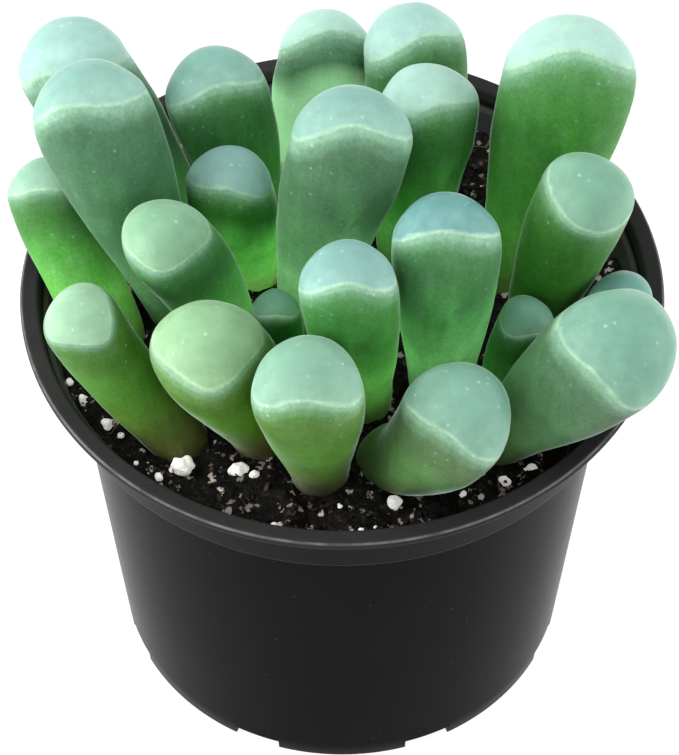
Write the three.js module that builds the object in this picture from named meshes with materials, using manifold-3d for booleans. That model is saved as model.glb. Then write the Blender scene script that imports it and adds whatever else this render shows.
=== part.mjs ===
// Potted baby toes, Fenestraria: club-shaped leaves with clear windows at their tips, in a round nursery pot.
// Millimetres, Z up. The origin is on the ground under the middle of the pot, and the front is -Y.

import * as THREE from 'three';
import { mergeVertices } from 'three/addons/utils/BufferGeometryUtils.js';
import Module from 'manifold-3d';

const wasm = await Module();
wasm.setup();

// Pot: radii and heights of its outside, with the wall, the floor and the feet.
const potHeight = 50.5;
const rimRadius = 33;
const rimInnerRadius = 31.1;
const rimThickness = 1;
const bandHeight = 7.6;
const bandTopRadius = 31.5;
const bandFootRadius = 30.2;
const wallTopRadius = 28;
const footRadius = 24.1;
const wallThickness = 0.7;
const ledgeThickness = 1.1;
const floorUnderside = 2;
const floorThickness = 1.2;
const footRingWidth = 1.1;
const notchCount = 8;
const notchHeight = 1.3;
const notchAngle = 12;
const middleDrainRadius = 4;
const outerDrainRadius = 2.5;
const outerDrainRing = 17;
const potSides = 48;

// Soil: how high it fills the pot, and how far it and every fitted piece keep from what they touch.
const soilLevel = 46;
const moundHeight = 0.6;
const seatGap = 0.3;
const soilSides = 36;
const soilRings = [25.5, 20.5, 15.5, 10.5, 5.5];

// Leaves: the parts of the form that all of them share. Polar angles are degrees from the middle of the dome.
const leafSides = 15;
const bodyRings = 6;
const footDepth = 8;
const keelHeight = 0.05;
const crestLobe = 0.07;
const crestPolar = 64;
const domeRings = [
  { polar: 88, size: 1, lobe: 0 },
  { polar: 76, size: 0.99, lobe: 0.5 },
  { polar: crestPolar, size: 1.02, lobe: 1 },
  { polar: 0.6 * crestPolar, size: 1, lobe: 0.5 },
  { polar: 0.3 * crestPolar, size: 0.99, lobe: 0 },
];
const domeTop = 0.985;

// One row for each leaf. root: where it leaves the soil. to, lean: the way it leans, and how far from
// upright there. bend: how much more it leans under its dome. long, wide: from the soil to the middle of the
// dome, and across the dome. neck: share of that width at the soil. tilt, facing: how far the dome tips from
// level, and towards where. keel: where one of its three keels points. Ways are degrees from +X towards +Y.
const leaves = [
  { root: [-17, 12], to: 177, lean: 21, bend: 4, long: 25, wide: 11.5, neck: 0.66,
    tilt: 40, facing: 112, keel: 90 },
  { root: [-17, 0], to: 178, lean: 13, bend: 2, long: 30, wide: 12.1, neck: 0.43,
    tilt: 42, facing: 120, keel: -130 },
  { root: [-9.4, 12.8], to: -178, lean: 7, bend: 6, long: 19.3, wide: 10.7, neck: 0.6,
    tilt: 31, facing: 120, keel: -135 },
  { root: [-3.6, 22.8], to: -11, lean: 5, bend: 4, long: 15, wide: 9.9, neck: 0.85,
    tilt: 48, facing: 95, keel: 90 },
  { root: [8, 17.2], to: 172, lean: 0, bend: 4, long: 20.6, wide: 10.7, neck: 0.85,
    tilt: 34, facing: 118, keel: -120 },
  { root: [6.8, 7.2], to: -32, lean: 1, bend: 8, long: 23.8, wide: 10.3, neck: 0.6,
    tilt: 26, facing: 115, keel: -120 },
  { root: [16.3, 4.8], to: 17, lean: 17, bend: -8, long: 28.4, wide: 13.6, neck: 0.43,
    tilt: 46, facing: 90, keel: 90 },
  { root: [-4, -1], to: -13, lean: 7, bend: 6, long: 28.5, wide: 12.1, neck: 0.47,
    tilt: 37, facing: 90, keel: 90 },
  { root: [-9, 5.3], to: -128, lean: 11, bend: 4, long: 17, wide: 9, neck: 0.58,
    tilt: 24, facing: 62, keel: -55 },
  { root: [-10.5, -5], to: -148, lean: 14, bend: 12, long: 23, wide: 9.1, neck: 0.6,
    tilt: 13, facing: -95, keel: -105 },
  { root: [-23.8, -3], to: 133, lean: 29, bend: 6, long: 16.8, wide: 8, neck: 0.93,
    tilt: 30, facing: 100, keel: 90 },
  { root: [-16.3, -16.35], to: 174, lean: 33, bend: -10, long: 19.1, wide: 7.9, neck: 0.75,
    tilt: 17, facing: -127, keel: -45 },
  { root: [-8, -16], to: -144, lean: 13, bend: 14, long: 18, wide: 11.5, neck: 0.55,
    tilt: 4, facing: -95, keel: -85 },
  { root: [-2.2, -20.8], to: -100, lean: 14, bend: 6, long: 22, wide: 10.9, neck: 0.53,
    tilt: 8, facing: 90, keel: 90 },
  { root: [2.2, -12], to: -105, lean: 11, bend: 6, long: 26, wide: 9.7, neck: 0.58,
    tilt: 25, facing: 97, keel: 90 },
  { root: [10, -10], to: -93, lean: 1, bend: 6, long: 24, wide: 10.9, neck: 0.58,
    tilt: 38, facing: 98, keel: 120 },
  { root: [4.8, -18.9], to: -48, lean: 46, bend: -30, long: 18, wide: 11.1, neck: 0.64,
    tilt: 24, facing: -14, keel: -60 },
  { root: [14.5, -17.1], to: -15, lean: 33, bend: 0, long: 22.3, wide: 12.4, neck: 0.475,
    tilt: 30, facing: -44, keel: -65 },
  { root: [18.7, -4.3], to: -14, lean: 10, bend: 4, long: 24.3, wide: 9.7, neck: 0.55,
    tilt: 23, facing: -35, keel: -105 },
  { root: [15.05, -11.6], to: 4, lean: 11, bend: 6, long: 12.6, wide: 5.7, neck: 0.55,
    tilt: 7, facing: -90, keel: -125 },
  { root: [22.9, -10.5], to: 13, lean: 18, bend: 6, long: 13.8, wide: 6.6, neck: 0.56,
    tilt: 10, facing: -60, keel: -60 },
  { root: [-5.5, -7.5], to: -114, lean: 10, bend: 4, long: 12, wide: 5, neck: 0.65,
    tilt: 15, facing: 90, keel: 90 },
  { root: [20, 14], to: 60, lean: 8, bend: 8, long: 12, wide: 6.6, neck: 0.6,
    tilt: 15, facing: 60, keel: 60 },
  { root: [-1.5, 11], to: -90, lean: 4, bend: 4, long: 10, wide: 6, neck: 0.6,
    tilt: 15, facing: 90, keel: 90 },
];

// Perlite grains: where each lies, and its size.
const grains = [
  { at: [-15.9, -20.55], size: 2.2, lift: 0.8 },
  { at: [-10.4, -20.8], size: 1.9 },
  { at: [-8.7, -21.4], size: 1.1 },
  { at: [-26.2, -11.8], size: 1.1 },
  { at: [-23.8, -14.7], size: 1.2 },
  { at: [-0.4, -26.2], size: 1 },
  { at: [5.2, -24.8], size: 1.6, lift: 0.2 },
  { at: [18.8, -20.6], size: 1.6 },
  { at: [16.2, -21.9], size: 1.1 },
];

const group = new THREE.Group();

function addMesh(name, geometry, color, roughness) {
  const material = new THREE.MeshStandardMaterial({ color, roughness, metalness: 0 });
  const mesh = new THREE.Mesh(geometry, material);
  mesh.name = name;
  group.add(mesh);
}

function radians(degrees) {
  return (degrees * Math.PI) / 180;
}

function smoothStep(from, to, value) {
  const share = Math.min(1, Math.max(0, (value - from) / (to - from)));
  return share * share * (3 - 2 * share);
}

// A closed geometry as a solid that can be joined and cut. Triangles that the merging folds flat are dropped.
function solidOf(geometry) {
  const bare = geometry.clone();
  bare.deleteAttribute('normal');
  bare.deleteAttribute('uv');
  const merged = mergeVertices(bare, 1e-4);
  const corners = Array.from(merged.index.array);
  const kept = [];
  for (let i = 0; i < corners.length; i += 3) {
    const [a, b, c] = corners.slice(i, i + 3);
    if (a !== b && b !== c && c !== a) kept.push(a, b, c);
  }
  const mesh = new wasm.Mesh({
    numProp: 3,
    vertProperties: new Float32Array(merged.attributes.position.array),
    triVerts: new Uint32Array(kept),
  });
  return new wasm.Manifold(mesh);
}

function geometryOf(solid) {
  const mesh = solid.getMesh();
  const geometry = new THREE.BufferGeometry();
  geometry.setAttribute('position', new THREE.BufferAttribute(new Float32Array(mesh.vertProperties), 3));
  geometry.setIndex(new THREE.BufferAttribute(new Uint32Array(mesh.triVerts), 1));
  geometry.computeVertexNormals();
  return geometry;
}

// Turns an outline of [radius, height] points about the Z axis.
function turned(outline, sides) {
  const points = outline.map(([radius, height]) => new THREE.Vector2(radius, height));
  const geometry = new THREE.LatheGeometry(points, sides);
  geometry.rotateX(Math.PI / 2);
  return geometry;
}

function middleOf(ring) {
  return ring.reduce((sum, point) => sum.add(point), new THREE.Vector3()).divideScalar(ring.length);
}

// Joins rings of points into a closed skin, with a fan at each end. Rings run from low to high.
function loft(rings, top = middleOf(rings.at(-1))) {
  const sides = rings[0].length;
  const points = rings.flat();
  const low = points.length;
  points.push(middleOf(rings[0]));
  const high = points.length;
  points.push(top);
  const index = [];
  for (let side = 0; side < sides; side += 1) {
    const next = (side + 1) % sides;
    for (let ring = 0; ring + 1 < rings.length; ring += 1) {
      const here = ring * sides;
      const above = here + sides;
      index.push(here + side, here + next, above + next);
      index.push(here + side, above + next, above + side);
    }
    const last = (rings.length - 1) * sides;
    index.push(low, next, side);
    index.push(high, last + side, last + next);
  }
  const geometry = new THREE.BufferGeometry().setFromPoints(points);
  geometry.setIndex(index);
  geometry.computeVertexNormals();
  return geometry;
}

// Lean of a leaf at a distance along its middle line. Below the soil it turns upright towards its foot.
function leanAt(leaf, along) {
  if (along < 0) return radians(leaf.lean * Math.max(0, 1 + along / footDepth));
  return radians(leaf.lean + (leaf.bend * along) / leaf.long);
}

// Direction that leans from upright by an angle, towards a way round the Z axis.
function leaningBy(angle, way) {
  return new THREE.Vector3(Math.sin(angle) * Math.cos(way), Math.sin(angle) * Math.sin(way), Math.cos(angle));
}

function directionAt(leaf, along) {
  return leaningBy(leanAt(leaf, along), radians(leaf.to));
}

// Point on a leaf's middle line, followed in short steps from where it leaves the soil.
function middleAt(leaf, along) {
  const steps = 12;
  const point = new THREE.Vector3(leaf.root[0], leaf.root[1], soilLevel);
  for (let step = 0; step < steps; step += 1) {
    const halfway = (along * (step + 0.5)) / steps;
    point.addScaledVector(directionAt(leaf, halfway), along / steps);
  }
  return point;
}

// Share of a leaf's full width at a share of its length: a narrow neck that swells towards the dome.
function swell(leaf, share) {
  return leaf.neck + (1 - leaf.neck) * Math.sin((Math.PI / 2) * share) ** 1.5;
}

// Middle of a leaf at a distance along it, the way it runs there, and two directions square to that.
function stationAt(leaf, along) {
  const way = radians(leaf.to);
  const up = directionAt(leaf, along);
  const across = new THREE.Vector3(-Math.sin(way), Math.cos(way), 0);
  return { middle: middleAt(leaf, along), up, across, outward: across.clone().cross(up) };
}

// Angles of a ring's corners, measured from the way the leaf leans, each with its share of a keel.
function ringAngles(leaf, sides) {
  const firstKeel = radians(leaf.keel - leaf.to);
  return Array.from({ length: sides }, (_, side) => {
    const turn = (side * 2 * Math.PI) / sides;
    return { angle: firstKeel + turn, keel: Math.cos(3 * turn) };
  });
}

// One ring round a leaf's body, slanted more and more towards the dome.
function bodyRing(leaf, along, radius, sides) {
  const { middle, up, across, outward } = stationAt(leaf, along);
  const facing = leaningBy(radians(leaf.tilt), radians(leaf.facing));
  const share = along / leaf.long;
  const keels = keelHeight * smoothStep(0, 0.8, share);
  const slant = smoothStep(0.35, 1, share);
  return ringAngles(leaf, sides).map(({ angle, keel }) => {
    const reach = radius * (1 + keels * keel);
    const x = reach * Math.cos(angle);
    const y = reach * Math.sin(angle);
    const fall = (-slant * (facing.dot(outward) * x + facing.dot(across) * y)) / facing.dot(up);
    const point = middle.clone().addScaledVector(outward, x).addScaledVector(across, y);
    return point.addScaledVector(up, fall);
  });
}

// One ring round a leaf's dome, which tips by the leaf's tilt. A ring that dips below the middle of the dome
// is as wide as the body there.
function domeRing(leaf, { polar, size, lobe }) {
  const { middle, up, outward } = stationAt(leaf, leaf.long);
  const radius = leaf.wide / 2;
  const facing = leaningBy(radians(leaf.tilt), radians(leaf.facing));
  const first = outward.clone().addScaledVector(facing, -outward.dot(facing)).normalize();
  const second = facing.clone().cross(first);
  return ringAngles(leaf, leafSides).map(({ angle, keel }) => {
    const open = radians(polar) * (1 + crestLobe * lobe * keel);
    const reach = radius * size * (1 + keelHeight * keel * Math.sin(open) ** 2);
    const arm = facing.clone().multiplyScalar(reach * Math.cos(open));
    arm.addScaledVector(first, reach * Math.sin(open) * Math.cos(angle));
    arm.addScaledVector(second, reach * Math.sin(open) * Math.sin(angle));
    const rise = arm.dot(up);
    arm.addScaledVector(up, -rise);
    if (rise < 0) {
      const body = radius * swell(leaf, 1 + rise / leaf.long) * (1 + keelHeight * keel);
      arm.setLength(Math.max(arm.length(), body));
    }
    return middle.clone().add(arm).addScaledVector(up, rise);
  });
}

// A leaf: a foot in the soil, a swelling body, and a dome whose crest is the edge of the window.
function leafGeometry(leaf) {
  const radius = leaf.wide / 2;
  const rings = [
    bodyRing(leaf, -footDepth, radius * leaf.neck * 0.35, leafSides),
    bodyRing(leaf, -footDepth / 2, radius * leaf.neck * 0.8, leafSides),
  ];
  for (let ring = 0; ring < bodyRings; ring += 1) {
    const share = ring / bodyRings;
    rings.push(bodyRing(leaf, share * leaf.long, radius * swell(leaf, share), leafSides));
  }
  for (const ring of domeRings) rings.push(domeRing(leaf, ring));
  const facing = leaningBy(radians(leaf.tilt), radians(leaf.facing));
  return loft(rings, middleAt(leaf, leaf.long).addScaledVector(facing, domeTop * radius));
}

// The plain hole that a leaf stands in: its foot and the start of its body, wider all round by the gap.
function leafHole(leaf) {
  const sides = 9;
  const wider = 1 / Math.cos(Math.PI / sides);
  const radius = leaf.wide / 2;
  const ringAt = (along, share) => bodyRing(leaf, along, (radius * share + seatGap + 0.05) * wider, sides);
  const above = Math.min(6, leaf.long / 2);
  const rings = [
    ringAt(-footDepth - seatGap, leaf.neck * 0.35),
    ringAt(-footDepth / 2, leaf.neck * 0.8),
    ringAt(0, leaf.neck),
    ringAt(above, swell(leaf, above / leaf.long)),
  ];
  return solidOf(loft(rings));
}

function potGeometry() {
  const bandFoot = potHeight - bandHeight;
  const wallFlare = (wallTopRadius - footRadius) / bandFoot;
  const floorTop = floorUnderside + floorThickness;
  const ledgeTop = bandFoot + ledgeThickness;
  const innerWallAt = (height) => footRadius + wallFlare * height - wallThickness;
  const outline = [
    [footRadius, 0],
    [wallTopRadius - 0.05, bandFoot - 0.4],
    [wallTopRadius + 0.3, bandFoot],
    [bandFootRadius - 0.3, bandFoot],
    [bandFootRadius, bandFoot + 0.3],
    [bandTopRadius, potHeight - rimThickness - 0.2],
    [rimRadius - 0.2, potHeight - rimThickness],
    [rimRadius, potHeight - rimThickness + 0.2],
    [rimRadius, potHeight - 0.3],
    [rimRadius - 0.3, potHeight],
    [rimInnerRadius + 0.2, potHeight],
    [rimInnerRadius, potHeight - 0.2],
    [rimInnerRadius - 0.4, potHeight - 1.9],
    [rimInnerRadius - 0.9, potHeight - 2.1],
    [bandFootRadius - 1.1, ledgeTop + 0.3],
    [innerWallAt(ledgeTop), ledgeTop],
    [innerWallAt(floorTop), floorTop],
    [0, floorTop],
    [0, floorUnderside],
    [footRadius - footRingWidth, floorUnderside],
    [footRadius - footRingWidth, 0],
    [footRadius, 0],
  ];
  const cuts = [];
  const drain = new THREE.CylinderGeometry(middleDrainRadius, middleDrainRadius, 4 * floorThickness, 24);
  drain.rotateX(Math.PI / 2);
  drain.translate(0, 0, floorUnderside);
  cuts.push(solidOf(drain));
  const notchWidth = 2 * footRadius * Math.sin(radians(notchAngle / 2));
  for (let notch = 0; notch < notchCount; notch += 1) {
    const way = ((notch + 0.5) * 2 * Math.PI) / notchCount;
    const gate = new THREE.BoxGeometry(4 * footRingWidth, notchWidth, 2 * notchHeight);
    gate.translate(footRadius, 0, 0);
    gate.rotateZ(way);
    cuts.push(solidOf(gate));
    const outlet = new THREE.CylinderGeometry(outerDrainRadius, outerDrainRadius, 4 * floorThickness, 12);
    outlet.rotateX(Math.PI / 2);
    outlet.translate(outerDrainRing, 0, floorUnderside);
    outlet.rotateZ(way);
    cuts.push(solidOf(outlet));
  }
  let pot = solidOf(turned(outline, potSides));
  for (const cut of cuts) pot = pot.subtract(cut);
  return geometryOf(pot);
}

// Height of the soil's surface: a low mound with small lumps and hollows.
function soilTop(x, y) {
  const share = Math.hypot(x, y) / rimRadius;
  const lumps = 0.26 * Math.sin(0.9 * x + Math.sin(0.5 * y)) + 0.22 * Math.sin(1.1 * y + 0.7 * x);
  return soilLevel + moundHeight * (1 - share * share) + lumps;
}

// A perlite grain: a ball of few faces, each corner pushed in or out by a fixed amount of its own.
function grainSolid(grain, number, extra = 0) {
  const ball = new THREE.IcosahedronGeometry(1, 1);
  const place = ball.attributes.position;
  const corner = new THREE.Vector3();
  const raised = 0.1 * grain.size + (grain.lift ?? 0);
  for (let i = 0; i < place.count; i += 1) {
    corner.fromBufferAttribute(place, i);
    const aside = Math.sin(7 * corner.x + number) + Math.sin(6 * corner.y + 2 * number);
    const uneven = aside + Math.sin(8 * corner.z);
    corner.multiplyScalar((grain.size / 2) * (0.94 + 0.05 * uneven) + extra);
    corner.y *= 0.85;
    place.setXYZ(i, corner.x + grain.at[0], corner.y + grain.at[1], corner.z + soilTop(...grain.at) + raised);
  }
  return solidOf(ball);
}

function soilGeometry() {
  const floorTop = floorUnderside + floorThickness;
  const bandFoot = potHeight - bandHeight;
  const wallFlare = (wallTopRadius - footRadius) / bandFoot;
  const bottom = floorTop + seatGap;
  const ledge = bandFoot + ledgeThickness + seatGap;
  const besideWall = (height) => footRadius + wallFlare * height - wallThickness - seatGap - 0.05;
  const edgeRadius = bandFootRadius - 0.95;
  const outline = [
    [0, bottom],
    [besideWall(bottom), bottom],
    [besideWall(ledge), ledge],
    [edgeRadius - 0.5, ledge + 0.35],
    [edgeRadius, soilLevel],
  ];
  for (const radius of soilRings) outline.push([radius, soilLevel]);
  outline.push([0, soilLevel]);
  const body = turned(outline, soilSides);
  const place = body.attributes.position;
  for (let i = 0; i < place.count; i += 1) {
    if (place.getZ(i) > soilLevel - 0.01) place.setZ(i, soilTop(place.getX(i), place.getY(i)));
  }
  let soil = solidOf(body);
  for (const leaf of leaves) soil = soil.subtract(leafHole(leaf));
  grains.forEach((grain, number) => {
    soil = soil.subtract(grainSolid(grain, number, seatGap));
  });
  return geometryOf(soil);
}

addMesh('pot', potGeometry(), 0x2f3032, 0.45);
addMesh('soil', soilGeometry(), 0x1d1713, 0.95);
leaves.forEach((leaf, number) => {
  addMesh(`leaf_${String(number + 1).padStart(2, '0')}`, leafGeometry(leaf), 0x7fb592, 0.5);
});
grains.forEach((grain, number) => {
  const name = `perlite_${String(number + 1).padStart(2, '0')}`;
  addMesh(name, geometryOf(grainSolid(grain, number)), 0xe9e6de, 0.9);
});

export default group;
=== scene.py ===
import math
import random

import bmesh
import bpy
from mathutils import Matrix, Vector, noise


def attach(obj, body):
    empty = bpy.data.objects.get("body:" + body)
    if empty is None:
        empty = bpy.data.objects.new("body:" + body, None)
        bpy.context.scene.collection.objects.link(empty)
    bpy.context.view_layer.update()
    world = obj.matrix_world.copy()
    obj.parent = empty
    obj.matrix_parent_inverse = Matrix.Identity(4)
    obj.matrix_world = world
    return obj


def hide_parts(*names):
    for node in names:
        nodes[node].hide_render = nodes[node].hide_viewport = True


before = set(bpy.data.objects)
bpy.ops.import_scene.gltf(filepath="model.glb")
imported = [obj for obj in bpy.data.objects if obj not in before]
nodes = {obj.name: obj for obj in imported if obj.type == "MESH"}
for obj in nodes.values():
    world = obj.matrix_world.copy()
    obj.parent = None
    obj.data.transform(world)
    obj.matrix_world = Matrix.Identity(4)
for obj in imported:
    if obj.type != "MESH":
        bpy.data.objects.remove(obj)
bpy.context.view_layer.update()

# Potted baby toes: waxy club leaves with clear windows, black peat with perlite, and a nursery pot.
# The frame is in metres, and the pieces below are given in millimetres.

mm = 0.001
random.seed(11)


# Shared by all the pieces

def mergedCopy(nodeName, *layers):
    bm = bmesh.new()
    bm.from_mesh(nodes[nodeName].data)
    bmesh.ops.remove_doubles(bm, verts=bm.verts, dist=0.005 * mm)
    for layer in layers:
        bm.verts.layers.float.new(layer)
    return bm


def roughObject(bm):
    mesh = bpy.data.meshes.new("rough")
    bm.to_mesh(mesh)
    bm.free()
    rough = bpy.data.objects.new("rough", mesh)
    bpy.context.scene.collection.objects.link(rough)
    return rough


def applied(*roughs):
    # the first object's mesh after its modifiers, with none of the rough objects left behind
    view = bpy.context.evaluated_depsgraph_get()
    finished = bpy.data.meshes.new_from_object(roughs[0].evaluated_get(view))
    for rough in roughs:
        mesh = rough.data
        bpy.data.objects.remove(rough)
        bpy.data.meshes.remove(mesh)
    fine = bmesh.new()
    fine.from_mesh(finished)
    bpy.data.meshes.remove(finished)
    return fine


def smoothed(bm, levels):
    rough = roughObject(bm)
    subdivision = rough.modifiers.new("Subdivision", "SUBSURF")
    subdivision.levels = levels
    subdivision.render_levels = levels
    return applied(rough)


def cutBy(bm, cutter):
    objects = [roughObject(made) for made in (bm, cutter)]
    cut = objects[0].modifiers.new("Boolean", "BOOLEAN")
    cut.operation = "DIFFERENCE"
    cut.solver = "EXACT"
    cut.object = objects[1]
    return applied(*objects)


def spun(outline, turns, closed=False):
    # a solid of revolution about the upright axis
    bm = bmesh.new()
    verts = [bm.verts.new((radius * mm, 0, height * mm)) for radius, height in outline]
    ends = verts[1:] + verts[:1] if closed else verts[1:]
    edges = [bm.edges.new(pair) for pair in zip(verts, ends)]
    bmesh.ops.spin(bm, geom=verts + edges, cent=(0, 0, 0), axis=(0, 0, 1), angle=2 * math.pi,
                   steps=turns, use_merge=True)
    bmesh.ops.remove_doubles(bm, verts=bm.verts, dist=0.002 * mm)
    return bm


def addPiece(bm, name, material, replaced=(), sharpAngle=None):
    mesh = bpy.data.meshes.new(name)
    bmesh.ops.recalc_face_normals(bm, faces=bm.faces)
    bm.to_mesh(mesh)
    bm.free()
    mesh.shade_smooth()
    if sharpAngle:
        mesh.set_sharp_from_angle(angle=math.radians(sharpAngle))
    mesh.materials.append(material)
    piece = bpy.data.objects.new(name, mesh)
    bpy.context.scene.collection.objects.link(piece)
    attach(piece, "root")
    if replaced:
        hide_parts(*replaced)


def roughen(bm, size, depth, seedPlace):
    # pushes each vertex in or out along its normal by slow noise
    bm.normal_update()
    moves = []
    for vert in bm.verts:
        place = vert.co / (size * mm) + Vector((seedPlace, 0, 0))
        moves.append((vert, vert.normal * noise.noise(place) * depth * mm))
    for vert, move in moves:
        vert.co += move


# Node helpers for the materials

def newMaterial(name):
    # gives the material with its tree, its shader and the place on the piece
    material = bpy.data.materials.new(name)
    material.use_nodes = True
    tree = material.node_tree
    place = addNode(tree, "TexCoord").outputs["Object"]
    return material, tree, tree.nodes["Principled BSDF"], place


def feed(tree, node, inputs):
    # links each input to another node's output, or sets a value on the input itself
    for key, value in inputs.items():
        if isinstance(value, bpy.types.NodeSocket):
            tree.links.new(value, node.inputs[key])
        else:
            node.inputs[key].default_value = value


def addNode(tree, kind, inputs=None, **settings):
    made = tree.nodes.new("ShaderNode" + kind)
    for key, value in settings.items():
        setattr(made, key, value)
    feed(tree, made, inputs or {})
    return made


def noiseAt(tree, place, perMm, detail=3, roughness=0.55):
    made = addNode(tree, "TexNoise", {"Vector": place, "Scale": perMm / mm, "Detail": detail,
                                      "Roughness": roughness})
    return made.outputs["Fac"]


def cellsAt(tree, place, perMm):
    made = addNode(tree, "TexVoronoi", {"Vector": place, "Scale": perMm / mm, "Randomness": 1.0})
    return made.outputs


def chanceOf(tree, cells):
    # three random numbers from 0 to 1 for each cell
    return addNode(tree, "SeparateColor", {"Color": cells["Color"]}).outputs


def ramp(tree, factor, stops, smooth=False):
    made = addNode(tree, "ValToRGB", {"Fac": factor})
    if smooth:
        made.color_ramp.interpolation = "EASE"
    marks = made.color_ramp.elements
    while len(marks) < len(stops):
        marks.new(0.5)
    for mark, (where, colour) in zip(marks, stops):
        mark.position = where
    for mark, (where, colour) in zip(marks, stops):
        shade = (colour, colour, colour) if isinstance(colour, (int, float)) else colour
        mark.color = (*shade, 1)
    return made.outputs["Color"]


def fitRange(tree, value, low, high, toLow=0.0, toHigh=1.0):
    made = addNode(tree, "MapRange", {"Value": value, "From Min": low, "From Max": high,
                                      "To Min": toLow, "To Max": toHigh})
    return made.outputs["Result"]


def fitNoise(tree, value, toLow, toHigh):
    # a noise texture stays mostly between 0.3 and 0.7
    return fitRange(tree, value, 0.3, 0.7, toLow, toHigh)


def maths(tree, operation, first, second):
    made = addNode(tree, "Math", {0: first, 1: second}, operation=operation)
    return made.outputs[0]


def times(tree, first, *others):
    for other in others:
        first = maths(tree, "MULTIPLY", first, other)
    return first


def blendColour(tree, kind, factor, first, second):
    first, second = [(*side, 1) if isinstance(side, tuple) else side for side in (first, second)]
    made = addNode(tree, "Mix", {0: factor, 6: first, 7: second}, data_type="RGBA", blend_type=kind)
    return made.outputs[2]


def bumped(tree, height, bump, under=None):
    depth, strength = bump
    inputs = {"Height": height, "Distance": depth * mm, "Strength": strength}
    if under:
        inputs["Normal"] = under
    return addNode(tree, "Bump", inputs).outputs["Normal"]


print("scene: frame loaded,", len(nodes), "nodes")


# The camera stands where the photograph was taken from

cameraSet = {
    "place": (-0.000277, -0.255903, 0.352855),
    "tilt": 38.88,
    "lens": 184.3,
    "sensor": 36,
    "nearest": 0.01,
}

cameraData = bpy.data.cameras.new("camera")
cameraData.lens = cameraSet["lens"]
cameraData.sensor_width = cameraSet["sensor"]
cameraData.clip_start = cameraSet["nearest"]
camera = bpy.data.objects.new("camera", cameraData)
camera.location = cameraSet["place"]
camera.rotation_euler = (math.radians(cameraSet["tilt"]), 0, 0)
bpy.context.scene.collection.objects.link(camera)
bpy.context.scene.camera = camera
bpy.context.scene.view_settings.view_transform = "Standard"


# Leaves: club shaped, with a clear domed window inside a pale crest line

leafShape = {
    "sides": 15,
    "soilRing": 3,           # the ring of vertices where a leaf comes out of the soil
    "crestRing": 11,
    "smoothLevels": 2,
    "fullness": 1.02,        # makes up for what the smoothing takes from each ring
    "domeLift": 0.022,       # and from the top of the dome
    "domeMiddle": 0.48,      # the dome's middle is this far under its crest, as a share of the crest's radius
    "crestSharpness": 0.15,
    "crestWave": 0.03,       # share of the crest ring's radius
    "waveSize": 3.2,
    "dentSize": 4.5,
    "dentDepth": 0.14,
    "fineDentSize": 1.125,
    "fineDentDepth": 0.0175,
    "seedSteps": (7.3, 3.7, 5.1),    # set the waves, dents and fine dents of one leaf apart from the next
    # how far each ring is from the tip, where the crest is 1
    "reach": [(14, 0.0), (13, 0.30), (12, 0.594), (11, 1.0), (10, 1.19), (9, 1.375), (8, 2.0), (0, 7.2)],
}

# frost: how pale the window is. warmth: how green rather than blue it is. bloom: how far the grey bloom runs
# down the stalk. olive: how yellow the stalk is. These go from 0 to 1. glow: a painted glow, light given
# off by the lower stalk for light soaked through it, and below 0 painted shade that darkens the lower stalk.
leafTones = {
    "leaf_01": (0.66, 0.10, 1.0, 0.0, 0.15), "leaf_02": (0.42, 0.20, 1.0, 0.0, -0.10),
    "leaf_03": (0.28, 0.25, 0.4, 0.1, 0.20), "leaf_04": (1.00, 0.20, 1.0, 0.0, 3.00),
    "leaf_05": (0.72, 0.10, 0.5, 0.1, 0.30), "leaf_06": (0.82, 0.18, 0.2, 0.1, 0.35),
    "leaf_07": (1.00, 0.16, 0.1, 0.2, 0.20), "leaf_08": (0.36, 0.20, 1.0, 0.1, 0.90),
    "leaf_09": (0.46, 0.05, 0.0, 0.2, 1.70), "leaf_10": (0.36, 0.78, 0.3, 0.1, 0.60),
    "leaf_11": (0.55, 0.50, 0.2, 0.3, 0.55), "leaf_12": (0.66, 0.68, 0.0, 0.8, -0.35),
    "leaf_13": (0.46, 0.85, 0.0, 1.0, -0.20), "leaf_14": (0.34, 0.50, 0.0, 1.0, -0.40),
    "leaf_15": (0.34, 0.10, 0.0, 0.1, 0.70), "leaf_16": (0.06, 0.00, 0.5, 0.0, 0.75),
    "leaf_17": (0.28, 0.42, 0.8, 0.5, -0.20), "leaf_18": (0.22, 0.45, 1.0, 0.2, -0.30),
    "leaf_19": (0.22, 0.55, 0.0, 0.4, -0.45), "leaf_20": (0.12, 0.55, 0.2, 0.1, 0.10),
    "leaf_21": (0.10, 0.20, 0.6, 0.0, 0.00), "leaf_22": (0.05, 0.75, 0.4, 0.0, 0.00),
    "leaf_23": (0.30, 0.40, 0.3, 0.1, 0.00), "leaf_24": (0.30, 0.40, 0.3, 0.1, 0.00),
}

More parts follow.
